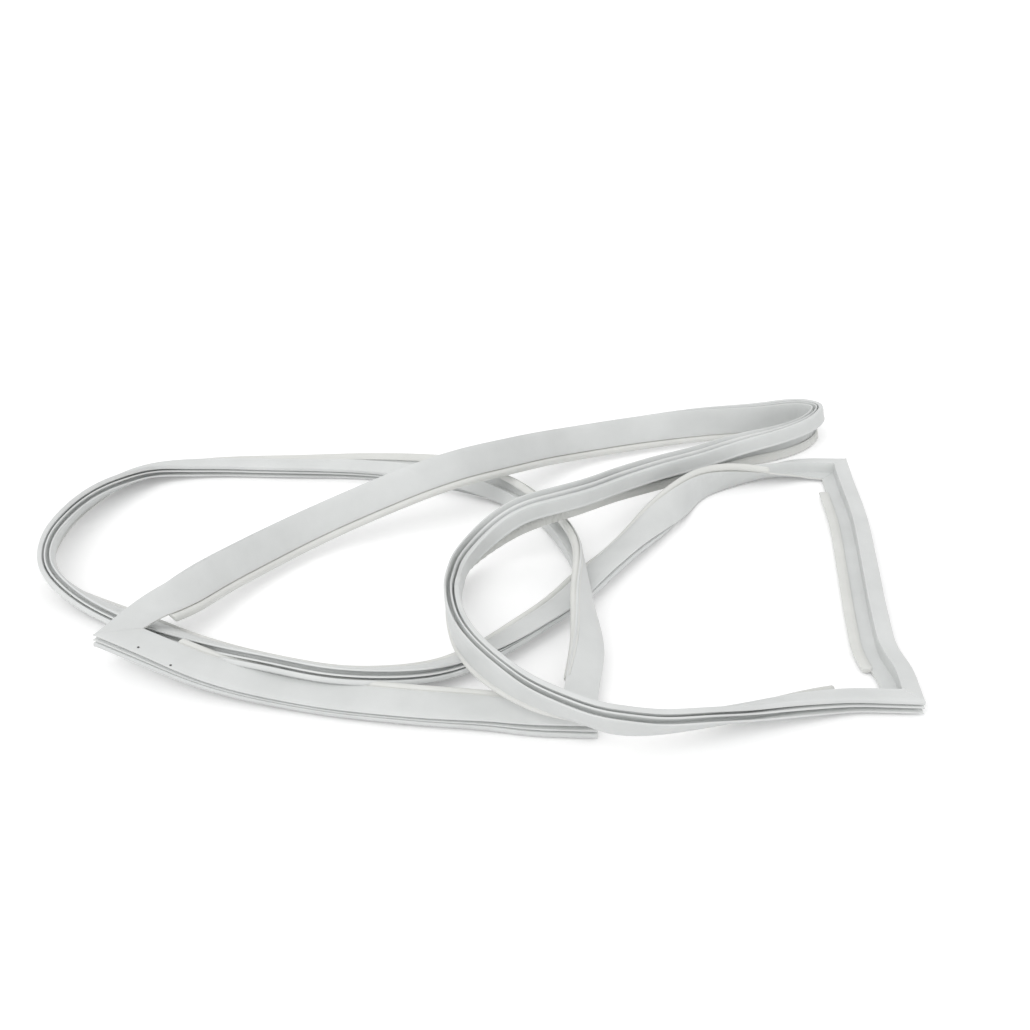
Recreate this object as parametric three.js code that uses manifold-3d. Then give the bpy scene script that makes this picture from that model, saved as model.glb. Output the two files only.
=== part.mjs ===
// A magnetic door gasket: four lengths of soft extruded profile, mitred and welded into one frame,
// with a magnet strip in the chamber of each length. It lies folded and twisted on a table.
// Millimetres, +Z up, the table top at z = 0.
import * as THREE from 'three';
import Module from 'manifold-3d';

const wasm = await Module();
wasm.setup();

// Profile sizes. x runs from the inside of the frame to its outer edge, y from the back to the magnet face.
const PROFILE_HEIGHT = 13.4;
const FLANGE_WIDTH = 26;
const FLANGE_THICKNESS = 2;
const FLANGE_CROWN = 0.5;
const EDGE_BEVEL = 0.6;
const CHAMBER_WIDTH = 14;
const CHAMBER_HEIGHT = 5;
const CHAMBER_WALL = 0.9;
const RIDGE_WIDTH = 1.2;
const FACE_DROP = 0.5;
const FACE_SLOPE_WIDTH = 4;
const LIP_THICKNESS = 1.5;
const LIP_HEIGHT = 5.2;
const GROOVE_DEPTH = 8.5;
const WEB_WAIST = 0.7;

// The dart is the bead that presses into the door's channel, joined to the flange by a thin neck.
const NECK_LENGTH = 1.6;
const NECK_THICKNESS = 1.3;
const NECK_ROOT = 1.5;
const DART_WIDTH = 8;
const DART_HEIGHT = 5;
const DART_DROP = 0.8;
const DART_ARC_STEPS = 4;
const DART_CUT_BACK = 45;

// Magnet strips and their chambers
const MAGNET_CLEARANCE = 0.3;
const MAGNET_CUT_BACK = 24;
const POCKET_CUT_BACK = 22;
const VENT_DIAMETER = 2;
const VENT_SIDES = 8;
const VENT_PLACE = 0.5;

// Stations along the sweep
const LONGEST_STEP = 55;
const LARGEST_TURN = 21;
const MITRE_STUB = 18;
const FINE_SAMPLES = 1200;

const UP = new THREE.Vector3(0, 0, 1);
const MIDDLE = PROFILE_HEIGHT / 2;
const FLANGE_HALF = FLANGE_WIDTH / 2;

const radians = THREE.MathUtils.degToRad;
const vec = (x, y, z) => new THREE.Vector3(x, y, z);

// The four welded corners. Each has its place, the heading and climb of the side that comes in,
// and the roll of the profile's outward edge about it: 0 points to the left, 90 up, 180 to the right.
const CORNERS = {
  a: { at: vec(-304, -260, 27), heading: 155, climb: 8, roll: -3 },
  b: { at: vec(288, -313, 8), heading: -2, climb: 0, roll: 180 },
  c: { at: vec(310, 83, 8), heading: 87, climb: 0, roll: 180 },
  d: { at: vec(47, -343, 7), heading: -93, climb: 0, roll: 0 },
};

// The rest position of each side between its corners: x, y, z of the profile's middle, and its roll.
const SIDES = {
  long_a_b: {
    from: 'a', to: 'b', rollFrom: -3, rollTo: 180,
    points: [
      [-268, -195, 30, 42], [-250, -162, 28, 50], [-219, -113, 25, 56], [-182, -72, 28, 60], [-123, -38, 43, 64],
      [-63, -6, 60, 68], [-9, 50, 52, 73], [50, 108, 30, 78], [122, 146, 25, 84], [186, 164, 24, 89],
      [250, 181, 23, 90], [292, 194, 23, 90], [312, 183, 23, 90], [301, 156, 23, 91], [268, 131, 23, 93],
      [220, 106, 23, 97], [178, 77, 24, 102], [136, 44, 28, 104], [94, -6, 41, 105], [56, -61, 56, 104],
      [29, -89, 59, 103], [2, -97, 51, 100], [-26, -110, 32, 96], [-43, -136, 24, 93], [-48, -173, 29, 92],
      [-45, -233, 45, 97], [-35, -282, 49, 104], [-16, -318, 48, 110], [12, -344, 43, 116], [38, -370, 46, 121],
      [62, -382, 43, 126], [95, -374, 29, 134], [131, -360, 21, 143], [169, -345, 16, 154], [207, -328, 12, 166],
    ],
  },
  short_b_c: {
    from: 'b', to: 'c', rollFrom: 180, rollTo: 180,
    points: [[290, -262, 8, 180], [291, -200, 8, 180], [297, -115, 8, 180], [303, -25, 8, 180]],
  },
  long_c_d: {
    from: 'c', to: 'd', rollFrom: 180, rollTo: 720,
    points: [
      [260, 82, 11, 200], [216, 62, 14, 232], [170, 38, 14, 264], [142, -10, 15, 305], [114, -58, 9, 346],
      [76, -122, 8, 358], [38, -180, 8, 363], [10, -220, 8, 374], [-14, -246, 9, 386], [-58, -276, 13, 400],
      [-124, -286, 17, 408], [-183, -270, 17, 408], [-244, -240, 13, 398], [-297, -206, 9, 388], [-350, -166, 14, 402],
      [-386, -142, 20, 426], [-404, -108, 24, 448], [-412, -60, 24, 466], [-407, -13, 22, 488], [-384, 32, 17, 508],
      [-351, 73, 12, 526], [-307, 91, 8, 538], [-210, 91, 8, 545], [-140, 79, 11, 552], [-67, 50, 13, 565],
      [-15, 19, 14, 598], [13, -3, 14, 628], [34, -34, 14, 664], [45, -82, 19, 700], [54, -144, 31, 706],
      [57, -204, 29, 710], [56, -260, 18, 718],
    ],
  },
  short_d_a: {
    from: 'd', to: 'a', rollFrom: 0, rollTo: -3,
    points: [[-12, -340, 9, -8], [-84, -333, 10, -12], [-158, -317, 11, -13], [-230, -293, 16, -9]],
  },
};

// Frame of the profile about a tangent: outward edge and magnet side
function profileFrame(tangent, roll) {
  const t = tangent.clone().normalize();
  const left = UP.clone().cross(t).normalize();
  const above = t.clone().cross(left);
  const angle = radians(roll);
  const n = left.multiplyScalar(Math.cos(angle)).addScaledVector(above, Math.sin(angle));
  return { t, n, b: n.clone().cross(t) };
}

function headingVector(heading, climb) {
  const flat = Math.cos(radians(climb));
  return vec(flat * Math.cos(radians(heading)), flat * Math.sin(radians(heading)), Math.sin(radians(climb)));
}

// At a right-angled mitre the next side leaves against the outward edge of the side that comes in.
function cornerFrames(corner) {
  const incoming = profileFrame(headingVector(corner.heading, corner.climb), corner.roll);
  const outgoing = { t: incoming.n.clone().negate(), n: incoming.t.clone(), b: incoming.b.clone() };
  return { incoming, outgoing };
}

function rollOf(frame) {
  const level = profileFrame(frame.t, 0);
  const above = profileFrame(frame.t, 90);
  return THREE.MathUtils.radToDeg(Math.atan2(frame.n.dot(above.n), frame.n.dot(level.n)));
}

// The same angle, in the turn nearest to the one named
const nearTurn = (angle, near) => angle + 360 * Math.round((near - angle) / 360);

// Curves for the path and the roll share their knots, so both reach a waypoint at the same parameter.
function sideCurves(side) {
  const start = cornerFrames(CORNERS[side.from]).outgoing;
  const end = cornerFrames(CORNERS[side.to]).incoming;
  const startRoll = nearTurn(rollOf(start), side.rollFrom);
  const endRoll = nearTurn(rollOf(end), side.rollTo);
  const stubs = [0, 1, 2].map((i) => i * MITRE_STUB);
  const places = [
    ...stubs.map((s) => CORNERS[side.from].at.clone().addScaledVector(start.t, s)),
    ...side.points.map(([x, y, z]) => vec(x, y, z)),
    ...stubs.reverse().map((s) => CORNERS[side.to].at.clone().addScaledVector(end.t, -s)),
  ];
  const rolls = [
    ...stubs.map(() => vec(startRoll, 0, 0)),
    ...side.points.map((point) => vec(point[3], 0, 0)),
    ...stubs.map(() => vec(endRoll, 0, 0)),
  ];
  return {
    path: new THREE.CatmullRomCurve3(places, false, 'centripetal'),
    roll: new THREE.CatmullRomCurve3(rolls, false, 'catmullrom', 0.5),
  };
}

// Fine samples of one side, each with its frame and its distance from the start
function sampleSide(side) {
  const curves = sideCurves(side);
  const samples = [];
  let distance = 0;
  for (let i = 0; i <= FINE_SAMPLES; i += 1) {
    const u = i / FINE_SAMPLES;
    const at = curves.path.getPoint(u);
    const frame = profileFrame(curves.path.getTangent(u), curves.roll.getPoint(u).x);
    if (i > 0) distance += at.distanceTo(samples[i - 1].at);
    samples.push({ at, distance, ...frame });
  }
  return samples;
}

function sampleAt(samples, distance) {
  let i = samples.findIndex((sample) => sample.distance >= distance);
  if (i < 1) i = 1;
  const [before, after] = [samples[i - 1], samples[i]];
  const share = (distance - before.distance) / (after.distance - before.distance);
  const blend = (key) => before[key].clone().lerp(after[key], share);
  const t = blend('t').normalize();
  const n = blend('n').projectOnPlane(t).normalize();
  return { at: blend('at'), t, n, b: n.clone().cross(t), distance };
}

// Stations of one side. No step is longer, and none bends or twists more, than the limits above,
// and there is a station at each cut, so that every bar along the side shares the same stations.
function stationsOf(samples) {
  const length = samples.at(-1).distance;
  const cuts = [MITRE_STUB, POCKET_CUT_BACK, MAGNET_CUT_BACK, DART_CUT_BACK];
  const breaks = [...cuts, ...cuts.map((cut) => length - cut)].sort((a, b) => a - b);
  const stations = [];
  for (let k = 1; k < breaks.length; k += 1) {
    stations.push(...stationsBetween(samples, breaks[k - 1], breaks[k]));
  }
  stations.push(sampleAt(samples, breaks.at(-1)));
  return stations;
}

// The stations from one distance up to, but not including, another
function stationsBetween(samples, from, to) {
  const effort = [0];
  for (let i = 1; i < samples.length; i += 1) {
    const [before, after] = [samples[i - 1], samples[i]];
    const inside = after.distance > from && before.distance < to;
    const turns = ['t', 'n', 'b'].map((axis) => before[axis].angleTo(after[axis]));
    const turn = THREE.MathUtils.radToDeg(Math.max(...turns)) / LARGEST_TURN;
    const step = (after.distance - before.distance) / LONGEST_STEP;
    effort.push(effort[i - 1] + (inside ? Math.hypot(turn, step) : 0));
  }
  const count = Math.max(1, Math.ceil(effort.at(-1)));
  const stations = [sampleAt(samples, from)];
  for (let k = 1; k < count; k += 1) {
    const i = effort.findIndex((value) => value >= (effort.at(-1) * k) / count);
    stations.push(sampleAt(samples, samples[i].distance));
  }
  return stations;
}

const placeOn = (station, x, y) =>
  station.at.clone().addScaledVector(station.n, x).addScaledVector(station.b, y - MIDDLE);

const ringAt = (station, outline) => outline.map(([x, y]) => placeOn(station, x, y));

// A closed mesh from rings of equal length: a loop when closed, otherwise a bar with flat ends
function loft(rings, outline, closed) {
  const size = outline.length;
  const vertProperties = new Float32Array(rings.flat().flatMap((point) => point.toArray()));
  const triVerts = [];
  const spans = closed ? rings.length : rings.length - 1;
  for (let r = 0; r < spans; r += 1) {
    const here = r * size;
    const next = ((r + 1) % rings.length) * size;
    for (let i = 0; i < size; i += 1) {
      const j = (i + 1) % size;
      triVerts.push(here + i, next + i, next + j, here + i, next + j, here + j);
    }
  }
  if (!closed) {
    const flat = outline.map(([x, y]) => new THREE.Vector2(x, y));
    const last = (rings.length - 1) * size;
    for (const [i, j, k] of THREE.ShapeUtils.triangulateShape(flat, [])) {
      triVerts.push(i, j, k, last + i, last + k, last + j);
    }
  }
  return new wasm.Manifold(new wasm.Mesh({ numProp: 3, vertProperties, triVerts: new Uint32Array(triVerts) }));
}

// Outline of the flange, lip, web and magnet chamber, counter-clockwise with x to the right and y up
function gasketOutline() {
  const outer = FLANGE_HALF;
  const grooveFloor = outer - GROOVE_DEPTH;
  const chamberInner = outer - CHAMBER_WIDTH;
  const chamberBase = PROFILE_HEIGHT - CHAMBER_HEIGHT;
  const lipTop = LIP_HEIGHT + LIP_THICKNESS;
  return [
    [-outer, FLANGE_CROWN],
    [-outer / 2, 0],
    [outer / 2, 0],
    [outer, FLANGE_CROWN],
    [outer, FLANGE_THICKNESS],
    [grooveFloor, FLANGE_THICKNESS + EDGE_BEVEL],
    [grooveFloor, LIP_HEIGHT - EDGE_BEVEL / 2],
    [outer, LIP_HEIGHT],
    [outer, lipTop],
    [grooveFloor, lipTop],
    [grooveFloor, chamberBase],
    [outer, chamberBase],
    [outer, PROFILE_HEIGHT - 2 * FACE_DROP - EDGE_BEVEL],
    [outer - EDGE_BEVEL, PROFILE_HEIGHT - 2 * FACE_DROP],
    [outer - FACE_SLOPE_WIDTH, PROFILE_HEIGHT - FACE_DROP],
    [chamberInner + RIDGE_WIDTH, PROFILE_HEIGHT - FACE_DROP / 2],
    [chamberInner, PROFILE_HEIGHT],
    [chamberInner, chamberBase],
    [chamberInner + WEB_WAIST, FLANGE_THICKNESS + EDGE_BEVEL],
    [-outer, FLANGE_THICKNESS],
  ];
}

// Outline of the dart and its neck: flat on the magnet side and round on the back
function dartOutline() {
  const root = -FLANGE_HALF;
  const near = root - NECK_LENGTH;
  const flatSide = DART_HEIGHT - DART_DROP;
  const neckLow = (FLANGE_THICKNESS + FLANGE_CROWN - NECK_THICKNESS) / 2;
  const outline = [
    [root + NECK_ROOT, neckLow],
    [root + NECK_ROOT, neckLow + NECK_THICKNESS],
    [near, neckLow + NECK_THICKNESS],
    [near, flatSide],
    [near - DART_WIDTH, flatSide],
  ];
  for (let i = 0; i <= DART_ARC_STEPS; i += 1) {
    const angle = Math.PI * (1 + i / DART_ARC_STEPS);
    const x = near - DART_WIDTH / 2 + (DART_WIDTH / 2) * Math.cos(angle);
    const y = flatSide - EDGE_BEVEL + (DART_HEIGHT - EDGE_BEVEL) * Math.sin(angle);
    if (x < near && !(i === DART_ARC_STEPS)) outline.push([x, y]);
  }
  outline.push([near, neckLow]);
  return outline;
}

// The long faces have a middle point, so that they follow the profile where it twists.
function magnetOutline(clearance) {
  const inner = FLANGE_HALF - CHAMBER_WIDTH + CHAMBER_WALL;
  const outer = FLANGE_HALF - CHAMBER_WALL;
  const centre = (inner + outer) / 2;
  const low = PROFILE_HEIGHT - CHAMBER_HEIGHT + CHAMBER_WALL;
  const high = PROFILE_HEIGHT - 2 * FACE_DROP - CHAMBER_WALL;
  return [
    [inner + clearance, low + clearance],
    [centre, low + clearance],
    [outer - clearance, low + clearance],
    [outer - clearance, high - clearance],
    [centre, high - clearance],
    [inner + clearance, high - clearance],
  ];
}

// One welded loop: the plain stations of every side and a mitred ring at every corner
function gasketLoop(sides) {
  const outline = gasketOutline();
  const rings = [];
  for (const [name, side] of Object.entries(SIDES)) {
    const { incoming, outgoing } = cornerFrames(CORNERS[side.from]);
    const mitre = { at: CORNERS[side.from].at, n: incoming.n.clone().add(outgoing.n), b: incoming.b };
    rings.push(ringAt(mitre, outline));
    rings.push(...sides[name].stations.map((station) => ringAt(station, outline)));
  }
  return loft(rings, outline, true);
}

function barAlong(side, outline, cutBack) {
  const kept = side.stations.filter(({ distance }) => distance >= cutBack && distance <= side.length - cutBack);
  return loft(kept.map((station) => ringAt(station, outline)), outline, false);
}

// A pinhole from the groove into the magnet chamber, so that the chamber can breathe
function chamberVent(side) {
  const station = sampleAt(side.samples, side.length * VENT_PLACE);
  const chamberBase = PROFILE_HEIGHT - CHAMBER_HEIGHT;
  const across = FLANGE_HALF - CHAMBER_WIDTH / 4;
  const circle = Array.from({ length: VENT_SIDES }, (_, i) => {
    const angle = (2 * Math.PI * i) / VENT_SIDES;
    return [(VENT_DIAMETER / 2) * Math.cos(angle), (VENT_DIAMETER / 2) * Math.sin(angle)];
  });
  const heights = [chamberBase - CHAMBER_WALL, chamberBase + 2 * CHAMBER_WALL];
  const rings = heights.map((y) =>
    circle.map(([along, over]) => placeOn(station, across + over, y).addScaledVector(station.t, along)));
  const vent = loft(rings, circle, false);
  return vent.volume() > 0 ? vent : loft(rings.reverse(), circle, false);
}

function geometryOf(solid) {
  const mesh = solid.getMesh();
  const geometry = new THREE.BufferGeometry();
  geometry.setAttribute('position', new THREE.BufferAttribute(mesh.vertProperties.slice(), 3));
  geometry.setIndex(new THREE.BufferAttribute(mesh.triVerts.slice(), 1));
  return geometry;
}

const softVinyl = new THREE.MeshStandardMaterial({ color: 0xd9dbd9, roughness: 0.55, metalness: 0 });
const magnetBrown = new THREE.MeshStandardMaterial({ color: 0x4a3b30, roughness: 0.8, metalness: 0 });

const part = new THREE.Group();

function addPiece(name, solid, material) {
  const mesh = new THREE.Mesh(geometryOf(solid), material);
  mesh.name = name;
  part.add(mesh);
}

const sides = Object.fromEntries(Object.entries(SIDES).map(([name, side]) => {
  const samples = sampleSide(side);
  return [name, { samples, length: samples.at(-1).distance, stations: stationsOf(samples) }];
}));

let gasket = gasketLoop(sides);
for (const side of Object.values(sides)) {
  gasket = gasket.add(barAlong(side, dartOutline(), DART_CUT_BACK));
}
for (const side of Object.values(sides)) {
  gasket = gasket.subtract(barAlong(side, magnetOutline(0), POCKET_CUT_BACK));
  gasket = gasket.subtract(chamberVent(side));
}
addPiece('welded_gasket', gasket, softVinyl);

for (const [name, side] of Object.entries(sides)) {
  addPiece(`magnet_strip_${name}`, barAlong(side, magnetOutline(MAGNET_CLEARANCE), MAGNET_CUT_BACK), magnetBrown);
}

// The origin goes on the table under the middle of the folded gasket.
const bounds = new THREE.Box3().setFromObject(part);
const middle = bounds.getCenter(vec(0, 0, 0));
part.position.set(-middle.x, -middle.y, -bounds.min.z);

export default part;
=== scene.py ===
# A folded magnetic door gasket on a white table: fine mesh, soft vinyl, plain studio light.
# Sizes and places are in millimetres, as in the part's source, and Blender gets them in metres.
import math

import bpy
import numpy as np
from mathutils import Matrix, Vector


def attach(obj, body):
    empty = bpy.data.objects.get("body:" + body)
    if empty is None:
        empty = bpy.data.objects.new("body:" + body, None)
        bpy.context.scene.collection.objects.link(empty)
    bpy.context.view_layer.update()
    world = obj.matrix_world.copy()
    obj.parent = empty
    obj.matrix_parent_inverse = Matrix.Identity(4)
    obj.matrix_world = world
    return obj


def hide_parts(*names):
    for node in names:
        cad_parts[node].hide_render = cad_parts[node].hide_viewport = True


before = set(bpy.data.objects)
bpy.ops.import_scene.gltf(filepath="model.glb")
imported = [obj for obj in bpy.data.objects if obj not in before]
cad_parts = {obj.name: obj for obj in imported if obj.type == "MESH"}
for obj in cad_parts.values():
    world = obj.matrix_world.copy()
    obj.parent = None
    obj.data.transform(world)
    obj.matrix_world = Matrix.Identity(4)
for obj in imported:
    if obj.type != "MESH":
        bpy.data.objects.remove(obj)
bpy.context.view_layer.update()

MM = 0.001
# Where the route's zero lies in the frame, in millimetres
ROUTE_ZERO = np.array([47.873, 96.822, 0.55])

# Profile sizes. x runs from the inside of the frame to its outer edge, y from the back to the magnet face.
PROFILE_HEIGHT = 13.4
FLANGE_HALF = 13.0
FLANGE_THICKNESS = 2.0
FLANGE_CROWN = 0.5
CHAMBER_WIDTH = 14.0
CHAMBER_HEIGHT = 5.0
CHAMBER_WALL = 0.9
FACE_DROP = 0.5
FACE_SLOPE_WIDTH = 4.0
RIDGE_WIDTH = 1.2
LIP_THICKNESS = 1.5
LIP_HEIGHT = 5.2
GROOVE_DEPTH = 8.5
WEB_WAIST = 0.7
WEB_RISE = 0.5
FLANGE_SLOPE = 0.4
LIP_SLOPE = 0.2
CHAMBER_SLOPE = 0.1
BACK_HOLLOW = 0.12
MAGNET_GAP = 0.3
NECK_LENGTH = 0.5
NECK_THICKNESS = 1.3
DART_OVERHANG = 1.7
DART_WIDTH = 8.8
DART_HEIGHT = 5.0
DART_DROP = 0.8
DART_SHOULDER = 0.7
DART_ROUNDING = 0.5
DART_ARC_STEPS = 9
DART_CUT_BACK = 45.0
LONG_DART_CUT_BACK = 78.0
DART_END_LENGTH = 2.2
MAGNET_CUT_BACK = 24.0
MIDDLE = PROFILE_HEIGHT / 2
MITRE_STUB = 18.0

# Roundings of the profile's corners, and the share of an edge that a rounding may use
EDGE_ROUNDING = 0.5
GROOVE_ROUNDING = 0.6
FLANGE_ROUNDING = 0.7
WEB_ROUNDING = 0.8
WAIST_ROUNDING = 0.9
FACE_ROUNDING = 1.0
MAGNET_ROUNDING = 0.3
ROUNDING_SHARE = 0.45
ROUNDING_POINTS = 3

# Sampling along the sweep: fine samples of a side, steps between stations, rings of a mitre and of the
# dart's cut end as shares, and the share of full wrinkling from which the stations lie close together
FINE_SAMPLES = 1500
PLAIN_STEP = 6.0
WRINKLE_STEP = 1.5
MITRE_RINGS = (0.02, 0.05, 0.1, 0.2, 0.4, 0.7)
DART_END_RINGS = np.array([0, 0.05, 0.2, 0.5, 1])
WRINKLED = 0.05
# Keeps a place inside its last span and a direction from having no length
TINY = 1e-9

# Smoothing of the route and of its roll: spreads along the sweep, how many spreads the bell reaches,
# and the bends, in radians per millimetre, from which a turn counts as tight a little and in full
PLACE_SPREAD = 13.0
TIGHT_SPREAD = 5.0
ROLL_SPREAD = 24.0
BELL_REACH = 3
TIGHT_FROM = 0.026
TIGHT_FULL = 0.045

# Wrinkles where the profile bends, and a slow wave along its outer edges. The pairs make them uneven:
# sizes and lengths of the drift in spacing, middle and swing of the size, and lengths of two slow beats.
WRINKLE_PITCH = 6.8
WRINKLE_HEIGHT = 1.6
WRINKLE_REACH = 7.0
SCALLOP_SHARE = 0.7
WRINKLE_FROM = 0.009
WRINKLE_FULL = 0.019
WRINKLE_DRIFT = ((1.3, 9.0), (0.9, 23.0))
WRINKLE_SIZE = (0.7, 0.3)
WRINKLE_BEATS = (7.3, 31.0)
WRINKLE_BLUNTNESS = 0.7
WAVE_HEIGHT = 0.22
WAVE_FROM = 4.0
WAVE_BEATS = (17.0, 41.0)
WAVE_SHIFT = 1.0
# Extra lengths without wrinkles at both ends of a side
WRINKLE_QUIET = {"long_a_b": 330.0}
# How far a corner's weld stands out
SEAM_BEAD = 0.35

# The four welded corners: place, heading and climb of the side that comes in, and roll of its outer edge
CORNERS = {
    "a": ((-304, -260, 27), 155, 8, -3),
    "b": ((288, -313, 8), -2, 0, 180),
    "c": ((310, 83, 8), 87, 0, 180),
    "d": ((47, -343, 7), -93, 0, 0),
}

# The rest position of each side: x, y, z of the profile's middle, its roll, how far the magnet chamber
# leans to the outside, and the share by which the bellows is pressed flat. The list started as the one
# in the part's source. A fit to the photograph's outline moved it, and then some of it was moved again.
SIDES = {
    "long_a_b": {
        "from": "a", "to": "b", "rolls": (-3, 180),
        "points": [
            (-268, -204, 32, 48, 3, 0), (-249, -166, 30, 56, 1, 0), (-217, -114, 26, 59, 1, 0),
            (-178, -70, 28, 60, 0, 0.1), (-123, -44, 43, 64, 0, 0.1), (-64, -24, 59, 61, 0, 0),
            (-9, 28, 50, 60, 0, 0), (50, 108, 26, 58, 0, 0), (123, 146, 22, 64, 0, 0),
            (186, 164, 23, 79, 0, 0), (249, 181, 21, 90, 0, 0), (292, 194, 21, 93, 0, 0),
            (312, 183, 21, 100, 0, 0.1), (300, 154, 21, 101, 0, 0.1), (268, 128, 21, 112, -3, 0),
            (220, 103, 22, 108, -6, 0), (178, 74, 22, 102, -6, 0), (138, 39, 28, 98, -6, 0),
            (97, -12, 40, 88, -6, 0), (58, -70, 54, 84, -6, 0), (31, -94, 58, 91, -6, 0),
            (3, -98, 51, 92, -6, 0), (-28, -110, 31, 85, -6, 0.1), (-44, -133, 24, 87, -6, 0.1),
            (-48, -170, 29, 91, -6, 0), (-48, -233, 45, 94, -3, 0), (-40, -287, 49, 98, 0, 0),
            (-20, -326, 48, 98, 0, 0.2), (8, -353, 43, 115, 0, 0.1), (35, -378, 46, 124, 0, 0),
            (60, -390, 43, 127, 1, 0), (94, -377, 29, 133, 2, 0), (131, -363, 23, 136, 1, 0),
            (167, -343, 15, 152, -2, 0), (203, -328, 12, 166, -3, 0),
        ],
    },
    "short_b_c": {
        "from": "b", "to": "c", "rolls": (180, 180),
        "points": [
            (284, -260, 8, 183, 0, 0), (288, -198, 8, 181, 0, 0), (297, -114, 8, 181, 0, 0),
            (306, -25, 8, 182, 0, 0),
        ],
    },
    "long_c_d": {
        "from": "c", "to": "d", "rolls": (180, 720),
        "points": [
            (263, 78, 10, 200, 0, 0), (221, 62, 14, 232, 0, 0), (174, 38, 14, 264, 0, 0),
            (143, -9, 11, 315, -1, 0.3), (114, -58, 8, 362, 0, 0.8), (74, -126, 9, 370, 0, 0.7),
            (40, -186, 9, 371, 0, 0.9), (10, -223, 9, 374, -1, 0.8), (-14, -250, 9, 380, 0, 0.7),
            (-56, -282, 10, 384, 2, 0.1), (-126, -296, 15, 391, 2, 0), (-191, -281, 18, 395, 1, 0),
            (-252, -250, 14, 390, 0, 0), (-303, -212, 9, 386, -1, 0), (-357, -175, 12, 400, 0, 0),
            (-387, -148, 18, 426, 0, 0), (-400, -110, 23, 462, 0, 0), (-403, -66, 21, 478, 0, 0),
            (-396, -18, 20, 489, 0, 0), (-378, 29, 17, 505, 0, 0), (-350, 74, 12, 526, 0, 0.1),
            (-306, 90, 9, 542, 0, 0), (-209, 88, 10, 551, 0, 0), (-138, 84, 11, 560, 0, 0),
            (-63, 58, 14, 583, -1, 0), (-11, 24, 14, 612, -1, 0.2), (13, -3, 13, 638, -1, 0.5),
            (32, -39, 14, 637, 0, 0.3), (45, -87, 20, 634, 0, 0.2), (52, -147, 30, 640, 0, 0.3),
            (52, -207, 28, 664, 0, 0.7), (55, -264, 16, 694, 0, 0.8),
        ],
    },
    "short_d_a": {
        "from": "d", "to": "a", "rolls": (0, -3),
        "points": [
            (-13, -336, 7.5, -9, 0, 0.3), (-84, -328, 8, -12, 0, 0.45), (-158, -312, 8, -12, 0, 0.45),
            (-231, -292, 14, -9, 0, 0.35),
        ],
    },
}

# Where the dart is folded against the profile: from and to, along the side, and the angle toward the
# magnet in degrees. Each fold starts and ends over the length of the fold's run.
DART_FOLDS = {
    "long_a_b": [(1620, 1900, 55)],
    "long_c_d": [(150, 300, 45), (1520, 1950, 95)],
}
FOLD_RUN = 70.0
# Ends where the dart is cut back further than elsewhere: start and end of the side
DART_CUTS = {"long_c_d": (LONG_DART_CUT_BACK, DART_CUT_BACK)}

# Pinholes, each drawn as a disc of painted shade: side, distance along it, place across the profile, height
# of the surface, and how far the disc stands off it, with the sign of the way the surface faces
VENTS = [
    ("short_d_a", 341, 8, 0.05, -0.15),
    ("short_d_a", 310, 11, 0.3, -0.15),
    ("short_b_c", 94, -2.4, FLANGE_THICKNESS + 0.1, 0.15),
]
VENT_RADIUS = 1.0
VENT_INNER_SHARE = 0.6
VENT_CROWN = 0.4
VENT_SIDES = 12

# Camera: distance to the route's zero, elevation, and focal length over the frame's width
CAMERA_DISTANCE = 1424.0
CAMERA_ELEVATION = 27.0
FOCAL_SHARE = 1539 / 1030
SENSOR = 36.0
CAMERA_CLIP = (0.05, 60.0)

# Floor and light: half the floor's width in metres, its colour, how much brighter the camera sees it,
# the sky, and a wide soft sun
FLOOR_SIZE = 30.0
FLOOR_GREY = 0.9
FLOOR_ROUGHNESS = 0.9
FLOOR_GLOW = 0.2
SKY_STRENGTH = 0.86
SUN_STRENGTH = 0.85
SUN_SPREAD = 40.0
SUN_FROM = (-0.35, -0.75, 0.85)

# Materials. Scales count features per metre, and the bumps' depths are in metres.
VINYL_COLOURS = ((0.635, 0.648, 0.642), (0.70, 0.713, 0.707))
DART_COLOURS = ((0.66, 0.665, 0.642), (0.73, 0.735, 0.712))
# The vent discs' colour is painted shade: the dark inside a pinhole, put on a flat disc
VENT_SHADE_COLOUR = (0.09, 0.09, 0.085)
MAGNET_COLOUR = (0.07, 0.045, 0.03)
VENT_ROUGHNESS = 0.9
MAGNET_ROUGHNESS = 0.85
VINYL_ROUGHNESS = (0.36, 0.5)
VINYL_SPECULAR = 0.4
SCATTERING = 0.12
SCATTER_RADIUS = (0.003, 0.003, 0.0028)
COLOUR_STOPS = (0.3, 0.7)
NOISE_ROUGHNESS = 0.55
CLOUD_SCALE = 22.0
GRAIN_SCALE = 650.0
SPECKLE_SCALE = 300.0
SPECKLE_DARKNESS = 0.8
STREAK_SCALE = (9.0, 900.0, 1.0)
STREAK_BUMP = (0.12, 0.0004)
GRAIN_BUMP = (0.1, 0.0002)
# Where the outline's last segment ends in the map of the streaks
AROUND_END = 60.0
# Edges that turn further than this, in degrees, stay sharp
SHARP_ANGLE = 48.0


def unit(vectors):
    return vectors / np.linalg.norm(vectors, axis=-1, keepdims=True)


def profile_frames(tangents, rolls):
    """Tangent, outward edge and magnet side for each tangent and roll in degrees."""
    t = unit(np.asarray(tangents, float))
    left = unit(np.cross((0.0, 0.0, 1.0), t))
    above = np.cross(t, left)
    angle = np.radians(np.asarray(rolls, float))[..., None]
    n = np.cos(angle) * left + np.sin(angle) * above
    return t, n, np.cross(n, t)


def heading_vector(heading, climb):
    flat = math.cos(math.radians(climb))
    h = math.radians(heading)
    return np.array([flat * math.cos(h), flat * math.sin(h), math.sin(math.radians(climb))])


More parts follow.
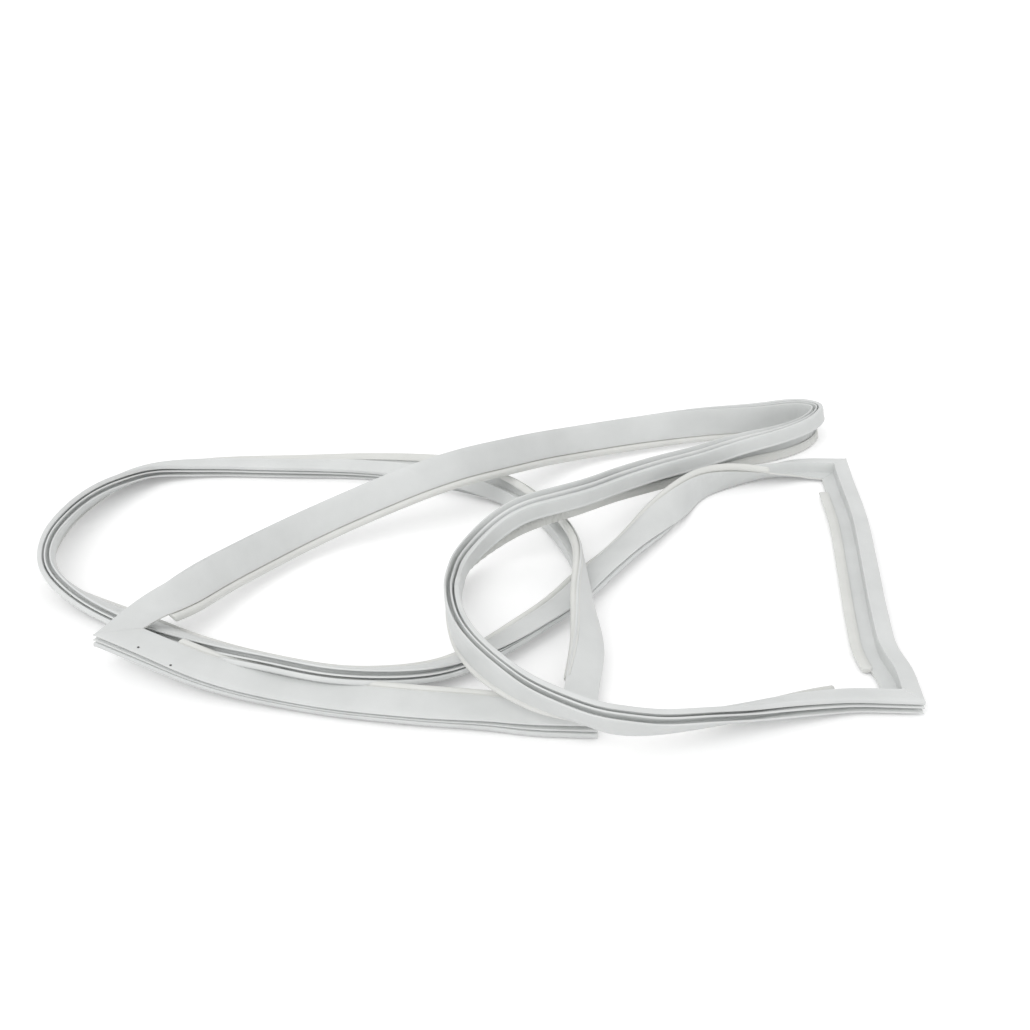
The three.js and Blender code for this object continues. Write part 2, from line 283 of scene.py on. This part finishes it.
def corner_frames(name):
    """Frames of the side that comes in and of the side that leaves, at a right-angled mitre."""
    _, heading, climb, roll = CORNERS[name]
    t, n, b = profile_frames(heading_vector(heading, climb), roll)
    return (t, n, b), (-n, t, b)


def roll_of(t, n, near):
    level = profile_frames(t, 0)[1]
    above = profile_frames(t, 90)[1]
    roll = math.degrees(math.atan2(n @ above, n @ level))
    return roll + 360 * round((near - roll) / 360)


def spline_parts(points, u):
    count = len(points)
    ends = np.vstack([2 * points[0] - points[1], points, 2 * points[-1] - points[-2]])
    place = np.clip(u * (count - 1), 0, count - 1 - TINY)
    i = place.astype(int)
    return [ends[i + k] for k in range(4)], (place - i)[:, None]


def hermite(start, end, t1, t2, w):
    c2 = 3 * (end - start) - 2 * t1 - t2
    c3 = 2 * (start - end) + t1 + t2
    return start + t1 * w + c2 * w ** 2 + c3 * w ** 3


def centripetal(points, u):
    """Places on a centripetal Catmull-Rom curve."""
    (p0, p1, p2, p3), w = spline_parts(points, u)
    pairs = ((p0, p1), (p1, p2), (p2, p3))
    d0, d1, d2 = (np.sqrt(np.linalg.norm(b - a, axis=1))[:, None] for a, b in pairs)
    t1 = ((p1 - p0) / d0 - (p2 - p0) / (d0 + d1) + (p2 - p1) / d1) * d1
    t2 = ((p2 - p1) / d1 - (p3 - p1) / (d1 + d2) + (p3 - p2) / d2) * d1
    return hermite(p1, p2, t1, t2, w)


def uniform(values, u):
    (p0, p1, p2, p3), w = spline_parts(values, u)
    return hermite(p1, p2, (p2 - p0) / 2, (p3 - p1) / 2, w)


def resampled(values, reached, even):
    return np.stack([np.interp(even, reached, column) for column in values.T], axis=1)


def smoothed(values, spread):
    """Values smoothed by a bell of that spread in samples, with the ends and their slopes kept."""
    reach = int(BELL_REACH * spread)
    bell = np.exp(-0.5 * (np.arange(-reach, reach + 1) / spread) ** 2)
    bell /= bell.sum()
    before = 2 * values[0] - values[reach:0:-1]
    after = 2 * values[-1] - values[-2:-reach - 2:-1]
    padded = np.concatenate([before, values, after])
    return np.stack([np.convolve(column, bell, mode="valid") for column in padded.T], axis=1)


def curvature(at, distance):
    t = unit(np.gradient(at, distance, axis=0))
    return np.linalg.norm(np.gradient(t, distance, axis=0), axis=1)


def fold_angle(side_name, distance):
    """How far the dart is folded toward the magnet side, in degrees, with smooth ends."""
    angle = np.zeros_like(distance)
    for start, end, degrees in DART_FOLDS.get(side_name, ()):
        share = np.clip(np.minimum(distance - start + FOLD_RUN, end + FOLD_RUN - distance) / FOLD_RUN, 0, 1)
        angle = np.maximum(angle, degrees * share * share * (3 - 2 * share))
    return angle


def sample_side(side_name, side):
    """Fine samples of one side: distance, place, frame, lean, squash, wrinkle and dart fold."""
    start = corner_frames(side["from"])[1]
    end = corner_frames(side["to"])[0]
    first = np.array(CORNERS[side["from"]][0], float)
    last = np.array(CORNERS[side["to"]][0], float)
    stubs = (0, MITRE_STUB, 2 * MITRE_STUB)
    rows = np.array(side["points"], float)
    places = np.vstack([
        [first + start[0] * s for s in stubs],
        rows[:, :3],
        [last - end[0] * s for s in reversed(stubs)],
    ])
    shape = np.vstack([
        [(roll_of(start[0], start[1], side["rolls"][0]), 0, 0)] * len(stubs),
        rows[:, 3:],
        [(roll_of(end[0], end[1], side["rolls"][1]), 0, 0)] * len(stubs),
    ])
    u = np.linspace(0, 1, FINE_SAMPLES + 1)
    rough = centripetal(places, u)
    reached = np.concatenate([[0], np.cumsum(np.linalg.norm(np.diff(rough, axis=0), axis=1))])
    even = np.linspace(0, reached[-1], FINE_SAMPLES + 1)
    step = even[1]
    at = resampled(rough, reached, even)
    bend = curvature(smoothed(at, TIGHT_SPREAD / step), even)
    tight = np.clip((bend - TIGHT_FROM) / (TIGHT_FULL - TIGHT_FROM), 0, 1)
    tight = smoothed(tight[:, None], PLACE_SPREAD / step)
    at = smoothed(at, TIGHT_SPREAD / step) * tight + smoothed(at, PLACE_SPREAD / step) * (1 - tight)
    roll, lean, squash = smoothed(resampled(uniform(shape, u), reached, even), ROLL_SPREAD / step).T
    distance = np.concatenate([[0], np.cumsum(np.linalg.norm(np.diff(at, axis=0), axis=1))])
    t, n, _ = profile_frames(np.gradient(at, distance, axis=0), roll)
    wrinkle = np.clip((curvature(at, distance) - WRINKLE_FROM) / (WRINKLE_FULL - WRINKLE_FROM), 0, 1)
    wrinkle = smoothed(wrinkle[:, None], PLACE_SPREAD / step)[:, 0]
    clear = np.minimum(distance, distance[-1] - distance) - DART_CUT_BACK
    wrinkle *= np.clip((clear - WRINKLE_QUIET.get(side_name, 0)) / DART_CUT_BACK, 0, 1)
    return {
        "distance": distance, "at": at, "t": t, "n": n, "lean": lean,
        "squash": np.clip(squash, 0, 1), "wrinkle": wrinkle, "fold": fold_angle(side_name, distance),
    }


def dart_span(side_name, length):
    start, end = DART_CUTS.get(side_name, (DART_CUT_BACK, DART_CUT_BACK))
    return start, length - end


def stations_of(side_name, fine):
    """Distances of the stations: close together where the profile wrinkles and at the dart's cut ends."""
    distance = fine["distance"]
    length = distance[-1]
    step = np.where(fine["wrinkle"] > WRINKLED, WRINKLE_STEP, PLAIN_STEP)
    effort = np.concatenate([[0], np.cumsum(np.diff(distance) / step[1:])])
    count = int(effort[-1])
    places = np.interp(np.linspace(0, effort[-1], count), effort, distance)
    places = places[(places > MITRE_STUB) & (places < length - MITRE_STUB)]
    first, last = dart_span(side_name, length)
    ends = DART_END_LENGTH * DART_END_RINGS
    extra = np.concatenate([[MITRE_STUB, length - MITRE_STUB], first + ends, last - ends])
    return np.unique(np.concatenate([places, extra]))


def at_stations(side_name, fine, places):
    def pick(values):
        if values.ndim == 1:
            return np.interp(places, fine["distance"], values)
        return np.stack([np.interp(places, fine["distance"], column) for column in values.T], axis=1)

    t = unit(pick(fine["t"]))
    n = pick(fine["n"])
    n = unit(n - (n * t).sum(axis=1, keepdims=True) * t)
    first, last = dart_span(side_name, fine["distance"][-1])
    inside = np.minimum(places - first, last - places)
    share = np.clip(inside / DART_END_LENGTH, 0, 1)
    return {
        "distance": places, "at": pick(fine["at"]), "t": t, "n": n, "b": np.cross(n, t),
        "lean": pick(fine["lean"]), "squash": pick(fine["squash"]), "wrinkle": pick(fine["wrinkle"]),
        "fold": np.radians(pick(fine["fold"])),
        "dart": np.sqrt(1 - (1 - share) ** 2) * (inside > 0),
    }


def rounded(corners):
    """The outline with each corner (x, y, radius) turned into a short curve."""
    points = []
    count = len(corners)
    for i, (x, y, radius) in enumerate(corners):
        here = np.array([x, y])
        if radius == 0:
            points.append(here)
            continue
        before = np.array(corners[i - 1][:2]) - here
        after = np.array(corners[(i + 1) % count][:2]) - here
        shorter = min(np.linalg.norm(before), np.linalg.norm(after))
        reach = min(radius, shorter * ROUNDING_SHARE)
        p = here + unit(before) * reach
        q = here + unit(after) * reach
        for k in range(ROUNDING_POINTS):
            s = k / (ROUNDING_POINTS - 1)
            points.append((1 - s) ** 2 * p + 2 * s * (1 - s) * here + s ** 2 * q)
    return np.array(points)


def gasket_outline():
    """Flange, lip, web and magnet chamber, counter-clockwise, from the flange's inner edge round to it."""
    outer = FLANGE_HALF
    floor = outer - GROOVE_DEPTH
    inner = outer - CHAMBER_WIDTH
    base = PROFILE_HEIGHT - CHAMBER_HEIGHT
    lip_top = LIP_HEIGHT + LIP_THICKNESS
    face = PROFILE_HEIGHT - 2 * FACE_DROP
    return rounded([
        (-outer, FLANGE_CROWN, 0),
        (-outer * 0.75, FLANGE_CROWN * 0.3, 0),
        (-outer / 2, 0, 0),
        (0, -BACK_HOLLOW, 0),
        (outer / 2, 0, 0),
        (outer, FLANGE_CROWN, FLANGE_ROUNDING),
        (outer, FLANGE_THICKNESS, GROOVE_ROUNDING),
        (floor, FLANGE_THICKNESS + FLANGE_SLOPE, WEB_ROUNDING),
        (floor, LIP_HEIGHT - LIP_SLOPE, GROOVE_ROUNDING),
        (outer, LIP_HEIGHT, EDGE_ROUNDING),
        (outer, lip_top, EDGE_ROUNDING),
        (floor, lip_top + CHAMBER_SLOPE, EDGE_ROUNDING),
        (floor, base - CHAMBER_SLOPE, EDGE_ROUNDING),
        (outer, base, FLANGE_ROUNDING),
        (outer, face, FACE_ROUNDING),
        (outer - FACE_SLOPE_WIDTH, PROFILE_HEIGHT - FACE_DROP, 0),
        (inner + 2 * RIDGE_WIDTH, PROFILE_HEIGHT - FACE_DROP, EDGE_ROUNDING),
        (inner + RIDGE_WIDTH, PROFILE_HEIGHT, EDGE_ROUNDING),
        (inner, PROFILE_HEIGHT, EDGE_ROUNDING),
        (inner, base, WEB_ROUNDING),
        (inner + WEB_WAIST, FLANGE_THICKNESS + WEB_RISE, WAIST_ROUNDING),
        (-outer * 0.7, FLANGE_THICKNESS, 0),
        (-outer, FLANGE_THICKNESS, 0),
    ])


def dart_outline():
    """Neck and dart, from the flange's magnet side round to its back: flat above and round below.

    The small offsets, in millimetres, ease its corners.
    """
    root = -FLANGE_HALF
    near = root - NECK_LENGTH
    far = near - DART_WIDTH + DART_OVERHANG
    flat_side = DART_HEIGHT - DART_DROP
    neck_low = (FLANGE_THICKNESS + FLANGE_CROWN - NECK_THICKNESS) / 2
    shoulder = flat_side - DART_SHOULDER
    over = near + DART_OVERHANG
    half = (near - far) / 2
    points = [
        (near + 0.1, neck_low + NECK_THICKNESS),
        (near, FLANGE_THICKNESS + 0.3),
        (over - 0.2, FLANGE_THICKNESS + 0.5),
        (over, flat_side - DART_ROUNDING),
        (over - DART_ROUNDING, flat_side),
        ((over + far) / 2, flat_side + 0.1),
        (far + DART_ROUNDING, flat_side),
    ]
    for i in range(DART_ARC_STEPS):
        angle = math.pi * (1 + i / DART_ARC_STEPS)
        x = near - half + half * math.cos(angle)
        y = shoulder + (shoulder + DART_DROP) * math.sin(angle)
        points.append((x, y))
    points.append((near, neck_low - 0.4))
    points.append((near + 0.2, neck_low))
    return np.array(points)


MAIN = gasket_outline()
DART = dart_outline()


def dart_start():
    """Where the dart's points lie where it is cut away: spread over the flange's inner edge."""
    share = (np.arange(len(DART)) + 1) / (len(DART) + 1)
    y = FLANGE_THICKNESS + (FLANGE_CROWN - FLANGE_THICKNESS) * share
    return np.stack([np.full(len(DART), -FLANGE_HALF), y], axis=1)


DART_START = dart_start()
GASKET = np.vstack([MAIN, DART_START])
BASE_Y = PROFILE_HEIGHT - CHAMBER_HEIGHT


def section_points(points, lean, squash):
    """The outline's points with the bellows leaning and pressed flat."""
    share = np.clip((points[:, 1] - FLANGE_THICKNESS) / (BASE_Y - FLANGE_THICKNESS), 0, 1)
    share = np.where(points[:, 0] < -FLANGE_HALF / 2, 0, share)
    x = points[None, :, 0] + lean[:, None] * share
    y = points[None, :, 1] - squash[:, None] * share * (BASE_Y - FLANGE_THICKNESS)
    return np.stack([x, y], axis=2)


def wrinkle_shape(stations, flat):
    """Small folds across the dart, the neck and the inner edge, and a slow wave along the outer edges."""
    s = stations["distance"][:, None]
    phase = 2 * math.pi * s / WRINKLE_PITCH
    for shift, length in WRINKLE_DRIFT:
        phase += shift * np.sin(s / length)
    fold = np.sign(np.sin(phase)) * np.abs(np.sin(phase)) ** WRINKLE_BLUNTNESS
    middle, swing = WRINKLE_SIZE
    size = middle + swing * np.sin(s / WRINKLE_BEATS[0]) * np.sin(s / WRINKLE_BEATS[1])
    from_neck = flat[None, :, 0] + FLANGE_HALF
    near_neck = np.where(from_neck > 0, np.exp(-(from_neck / WRINKLE_REACH) ** 2), 1)
    lift = WRINKLE_HEIGHT * stations["wrinkle"][:, None] * size * fold * near_neck
    edge = np.clip((flat[None, :, 0] - WAVE_FROM) / (FLANGE_HALF - WAVE_FROM), 0, 1)
    return lift + WAVE_HEIGHT * edge * (np.sin(s / WAVE_BEATS[0]) * np.sin(s / WAVE_BEATS[1] + WAVE_SHIFT))


def placed(stations, x, y):
    across = x[..., None] * stations["n"][:, None]
    return stations["at"][:, None] + across + y[..., None] * stations["b"][:, None]


def rings_of(stations, points):
    """World points of the rings, in metres."""
    xy = section_points(points, stations["lean"], stations["squash"])
    x, y = xy[..., 0], xy[..., 1] - MIDDLE
    return (placed(stations, x, y) + ROUTE_ZERO) * MM


def gasket_rings(stations):
    """Rings of the whole profile, in millimetres: dart folded or cut away, and the wrinkles added."""
    main = section_points(MAIN, stations["lean"], stations["squash"])
    dart = stations["dart"][:, None, None]
    hinge = np.array([-FLANGE_HALF, (FLANGE_THICKNESS + FLANGE_CROWN) / 2])
    arm = DART - hinge
    cos, sin = np.cos(stations["fold"])[:, None], np.sin(stations["fold"])[:, None]
    turned = np.stack([arm[:, 0] * cos + arm[:, 1] * sin, arm[:, 1] * cos - arm[:, 0] * sin], axis=2) + hinge
    bead = DART_START[None] * (1 - dart) + turned * dart
    xy = np.concatenate([main, bead], axis=1)
    wrinkles = wrinkle_shape(stations, GASKET)
    scallops = np.zeros_like(wrinkles)
    scallops[:, len(MAIN):] = SCALLOP_SHARE * wrinkles[:, len(MAIN):]
    x, y = xy[..., 0] + scallops, xy[..., 1] - MIDDLE + wrinkles
    return placed(stations, x, y)


def outline_normals(points):
    """Outward directions of the closed outline's points."""
    along = unit(np.roll(points, -1, axis=0) - np.roll(points, 1, axis=0) + TINY)
    return np.stack([along[:, 1], -along[:, 0]], axis=1)


def mitre_ring(name, bead):
    """The ring in the plane of a mitre, stood out by the weld's bead."""
    (_, n1, b), (_, n2, _) = corner_frames(name)
    points = GASKET + bead * outline_normals(GASKET)
    at = np.array(CORNERS[name][0], float)
    x, y = points[:, 0], points[:, 1] - MIDDLE
    return at + x[:, None] * (n1 + n2) + y[:, None] * b


def mesh_object(name, vertices, faces, materials, slots=None, uv=None):
    mesh = bpy.data.meshes.new(name)
    mesh.from_pydata([tuple(v) for v in vertices], [], faces)
    for material in materials:
        mesh.materials.append(material)
    if slots is not None:
        mesh.polygons.foreach_set("material_index", slots)
    if uv is not None:
        layer = mesh.uv_layers.new(name="sweep")
        layer.data.foreach_set("uv", np.asarray(uv, float).ravel())
    mesh.shade_smooth()
    mesh.set_sharp_from_angle(angle=math.radians(SHARP_ANGLE))
    mesh.update()
    piece = bpy.data.objects.new(name, mesh)
    bpy.context.scene.collection.objects.link(piece)
    return piece


def new_material(name):
    material = bpy.data.materials.new(name)
    material.use_nodes = True
    tree = material.node_tree
    return material, tree.nodes, tree.links, tree.nodes["Principled BSDF"]


def noise(nodes, links, vector, scale, detail=4.0):
    node = nodes.new("ShaderNodeTexNoise")
    node.inputs["Scale"].default_value = scale
    node.inputs["Detail"].default_value = detail
    node.inputs["Roughness"].default_value = NOISE_ROUGHNESS
    links.new(vector, node.inputs["Vector"])
    return node.outputs["Fac"]


def colour_ramp(nodes, links, factor, colours):
    """The first colour where the factor is low and the second where it is high."""
    node = nodes.new("ShaderNodeValToRGB")
    links.new(factor, node.inputs["Fac"])
    for element, stop, colour in zip(node.color_ramp.elements, COLOUR_STOPS, colours):
        element.position = stop
        element.color = (*colour, 1)
    return node.outputs["Color"]


def bump(nodes, links, height, size):
    node = nodes.new("ShaderNodeBump")
    strength, depth = size
    node.inputs["Strength"].default_value = strength
    node.inputs["Distance"].default_value = depth
    links.new(height, node.inputs["Height"])
    return node


def soft_plastic(name, colours):
    """Extruded plastic: faint cloudy colour, fine streaks along the sweep and a soft sheen."""
    material, nodes, links, shader = new_material(name)
    where = nodes.new("ShaderNodeTexCoord")
    cloud = noise(nodes, links, where.outputs["Object"], CLOUD_SCALE)
    links.new(colour_ramp(nodes, links, cloud, colours), shader.inputs["Base Color"])
    sweep = nodes.new("ShaderNodeUVMap")
    sweep.uv_map = "sweep"
    stretch = nodes.new("ShaderNodeMapping")
    stretch.inputs["Scale"].default_value = STREAK_SCALE
    links.new(sweep.outputs["UV"], stretch.inputs["Vector"])
    streaks = noise(nodes, links, stretch.outputs["Vector"], 1.0, detail=2.0)
    grain = noise(nodes, links, where.outputs["Object"], GRAIN_SCALE, detail=3.0)
    rough = nodes.new("ShaderNodeMapRange")
    rough.inputs["To Min"].default_value = VINYL_ROUGHNESS[0]
    rough.inputs["To Max"].default_value = VINYL_ROUGHNESS[1]
    links.new(cloud, rough.inputs["Value"])
    links.new(rough.outputs["Result"], shader.inputs["Roughness"])
    streak_bump = bump(nodes, links, streaks, STREAK_BUMP)
    grain_bump = bump(nodes, links, grain, GRAIN_BUMP)
    links.new(streak_bump.outputs["Normal"], grain_bump.inputs["Normal"])
    links.new(grain_bump.outputs["Normal"], shader.inputs["Normal"])
    shader.inputs["Subsurface Weight"].default_value = SCATTERING
    shader.inputs["Subsurface Radius"].default_value = SCATTER_RADIUS
    shader.inputs["Subsurface Scale"].default_value = 1.0
    shader.inputs["Specular IOR Level"].default_value = VINYL_SPECULAR
    return material


def plain_material(name, colour, roughness):
    """A plain dull colour with a faint darker speckle."""
    material, nodes, links, shader = new_material(name)
    where = nodes.new("ShaderNodeTexCoord")
    speckle = noise(nodes, links, where.outputs["Object"], SPECKLE_SCALE)
    dark = tuple(SPECKLE_DARKNESS * c for c in colour)
    links.new(colour_ramp(nodes, links, speckle, (dark, colour)), shader.inputs["Base Color"])
    shader.inputs["Roughness"].default_value = roughness
    return material


def swept_faces(count, size, closed):
    """Quads between rings of equal size, facing out, and the outline segment of each."""
    faces = []
    segments = []
    for r in range(count if closed else count - 1):
        here = r * size
        beyond = ((r + 1) % count) * size
        for i in range(size):
            j = (i + 1) % size
            faces.append((here + i, beyond + i, beyond + j, here + j))
            segments.append(i)
    return faces, segments


def make_gasket(sides, vinyl, dart_vinyl):
    """One closed loop of the whole profile, with a mitred and welded corner between the sides."""
    rings = []
    along = []
    travelled = 0.0
    for name, swept in sides.items():
        side = SIDES[name]
        stations = swept["stations"]
        body = gasket_rings(stations)
        start = mitre_ring(side["from"], 0)
        end = mitre_ring(side["to"], 0)
        length = swept["length"]
        rings.append(mitre_ring(side["from"], SEAM_BEAD))
        along.append(travelled)
        for share in MITRE_RINGS:
            rings.append(start * (1 - share) + body[0] * share)
            along.append(travelled + share * MITRE_STUB)
        rings.extend(body)
        along.extend(travelled + stations["distance"])
        for share in reversed(MITRE_RINGS):
            rings.append(end * (1 - share) + body[-1] * share)
            along.append(travelled + length - share * MITRE_STUB)
        travelled += length
    size = len(GASKET)
    vertices = (np.concatenate(rings) + ROUTE_ZERO) * MM
    faces, segments = swept_faces(len(rings), size, True)
    first_of_dart = len(MAIN)
    slots = [1 if first_of_dart <= segment < size - 1 else 0 for segment in segments]
    edges = np.linalg.norm(np.diff(GASKET, axis=0), axis=1)
    around = np.concatenate([[0], np.cumsum(edges), [AROUND_END]])
    uv = []
    for face_index, segment in enumerate(segments):
        ring = face_index // size
        u0 = along[ring] * MM
        u1 = (along[ring + 1] if ring + 1 < len(along) else travelled) * MM
        v0, v1 = around[segment] * MM, around[segment + 1] * MM
        uv.extend([(u0, v0), (u1, v0), (u1, v1), (u0, v1)])
    piece = mesh_object("door_gasket_vinyl", vertices, faces, [vinyl, dart_vinyl], slots, uv)
    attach(piece, "root")
    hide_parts("welded_gasket")


def make_magnet(name, side, material):
    """The flexible magnet strip of one side, hidden inside the gasket's closed skin."""
    inner = FLANGE_HALF - CHAMBER_WIDTH + CHAMBER_WALL + MAGNET_GAP
    outer = FLANGE_HALF - CHAMBER_WALL - MAGNET_GAP
    low = BASE_Y + CHAMBER_WALL + MAGNET_GAP
    high = PROFILE_HEIGHT - 2 * FACE_DROP - CHAMBER_WALL - MAGNET_GAP
    corners = ((inner, low), (outer, low), (outer, high), (inner, high))
    outline = rounded([(x, y, MAGNET_ROUNDING) for x, y in corners])
    stations = side["stations"]
    distance = stations["distance"]
    keep = (distance >= MAGNET_CUT_BACK) & (distance <= side["length"] - MAGNET_CUT_BACK)
    kept = {key: value[keep] for key, value in stations.items()}
    rings = rings_of(kept, outline)
    size = len(outline)
    faces, _ = swept_faces(len(rings), size, False)
    last = (len(rings) - 1) * size
    faces.append(tuple(range(size)))
    faces.append(tuple(last + i for i in reversed(range(size))))
    piece = mesh_object(f"magnet_{name}", rings.reshape(-1, 3), faces, [material])
    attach(piece, "root")
    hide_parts(f"magnet_strip_{name}")


def make_vent_shade(sides, material):
    """Pinholes that let the magnet chambers breathe, as small discs of painted shade just proud of the
    surface: the dark inside each hole is painted on a flat disc, not modelled.
    """
    vertices = []
    faces = []
    for name, along, across, height, lift in VENTS:
        station = sides[name]["stations"]
        i = int(np.argmin(np.abs(station["distance"] - along)))
        n, b, t = station["n"][i], station["b"][i], station["t"][i]
        centre = station["at"][i] + across * n + (height + lift - MIDDLE) * b
        first = len(vertices)
        for ring, radius in enumerate((VENT_RADIUS, VENT_INNER_SHARE * VENT_RADIUS)):
            for k in range(VENT_SIDES):
                angle = 2 * math.pi * k / VENT_SIDES
                spot = centre + radius * (math.cos(angle) * t + math.sin(angle) * n)
                spot = spot + VENT_CROWN * ring * lift * b
                vertices.append((spot + ROUTE_ZERO) * MM)
        for k in range(VENT_SIDES):
            j = (k + 1) % VENT_SIDES
            quad = (first + k, first + j, first + VENT_SIDES + j, first + VENT_SIDES + k)
            faces.append(quad if lift > 0 else quad[::-1])
        cap = tuple(first + VENT_SIDES + k for k in range(VENT_SIDES))
        faces.append(cap if lift > 0 else cap[::-1])
    piece = mesh_object("vent_pinhole_shade", vertices, faces, [material])
    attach(piece, "root")


def white_floor():
    """A white table top. The camera sees it a little brighter than it is lit, and it keeps the shadow."""
    corners = [(x * FLOOR_SIZE, y * FLOOR_SIZE, 0) for x, y in ((-1, -1), (1, -1), (1, 1), (-1, 1))]
    mesh = bpy.data.meshes.new("floor")
    mesh.from_pydata(corners, [], [(0, 1, 2, 3)])
    floor = bpy.data.objects.new("floor", mesh)
    bpy.context.scene.collection.objects.link(floor)
    material, nodes, links, shader = new_material("white_table")
    shader.inputs["Base Color"].default_value = (FLOOR_GREY, FLOOR_GREY, FLOOR_GREY, 1)
    shader.inputs["Roughness"].default_value = FLOOR_ROUGHNESS
    shader.inputs["Specular IOR Level"].default_value = 0.0
    path = nodes.new("ShaderNodeLightPath")
    seen = nodes.new("ShaderNodeMath")
    seen.operation = "MAXIMUM"
    links.new(path.outputs["Is Camera Ray"], seen.inputs[0])
    links.new(path.outputs["Is Glossy Ray"], seen.inputs[1])
    glow = nodes.new("ShaderNodeMath")
    glow.operation = "MULTIPLY"
    glow.inputs[1].default_value = FLOOR_GLOW
    links.new(seen.outputs[0], glow.inputs[0])
    shader.inputs["Emission Color"].default_value = (1, 1, 1, 1)
    links.new(glow.outputs[0], shader.inputs["Emission Strength"])
    mesh.materials.append(material)


def studio():
    world = bpy.data.worlds.new("studio")
    world.use_nodes = True
    background = world.node_tree.nodes["Background"]
    background.inputs["Color"].default_value = (1, 1, 1, 1)
    path = world.node_tree.nodes.new("ShaderNodeLightPath")
    strength = world.node_tree.nodes.new("ShaderNodeMapRange")
    strength.inputs["To Min"].default_value = SKY_STRENGTH
    strength.inputs["To Max"].default_value = 1.0
    world.node_tree.links.new(path.outputs["Is Camera Ray"], strength.inputs["Value"])
    world.node_tree.links.new(strength.outputs["Result"], background.inputs["Strength"])
    bpy.context.scene.world = world
    lamp = bpy.data.lights.new("soft_sun", "SUN")
    lamp.energy = SUN_STRENGTH
    lamp.angle = math.radians(SUN_SPREAD)
    sun = bpy.data.objects.new("soft_sun", lamp)
    sun.rotation_euler = (-Vector(SUN_FROM)).to_track_quat("-Z", "Y").to_euler()
    bpy.context.scene.collection.objects.link(sun)


def photo_camera():
    elevation = math.radians(CAMERA_ELEVATION)
    zero = Vector(ROUTE_ZERO * MM)
    place = zero + Vector((0, -math.cos(elevation), math.sin(elevation))) * CAMERA_DISTANCE * MM
    data = bpy.data.cameras.new("photo_camera")
    data.sensor_fit = "HORIZONTAL"
    data.sensor_width = SENSOR
    data.lens = SENSOR * FOCAL_SHARE
    data.clip_start, data.clip_end = CAMERA_CLIP
    camera = bpy.data.objects.new("photo_camera", data)
    camera.location = place
    camera.rotation_euler = (zero - place).to_track_quat("-Z", "Y").to_euler()
    bpy.context.scene.collection.objects.link(camera)
    bpy.context.scene.camera = camera


bpy.context.scene.view_settings.view_transform = "Standard"
photo_camera()
studio()
white_floor()

vinyl = soft_plastic("soft_vinyl_grey", VINYL_COLOURS)
dart_vinyl = soft_plastic("soft_vinyl_dart", DART_COLOURS)
vent_shadow = plain_material("vent_shadow_grey", VENT_SHADE_COLOUR, VENT_ROUGHNESS)
magnet_rubber = plain_material("magnet_rubber_brown", MAGNET_COLOUR, MAGNET_ROUGHNESS)

sides = {}
for side_name, side in SIDES.items():
    fine = sample_side(side_name, side)
    sides[side_name] = {
        "stations": at_stations(side_name, fine, stations_of(side_name, fine)),
        "length": fine["distance"][-1],
    }

make_gasket(sides, vinyl, dart_vinyl)
make_vent_shade(sides, vent_shadow)
for side_name, side in sides.items():
    make_magnet(side_name, side, magnet_rubber)
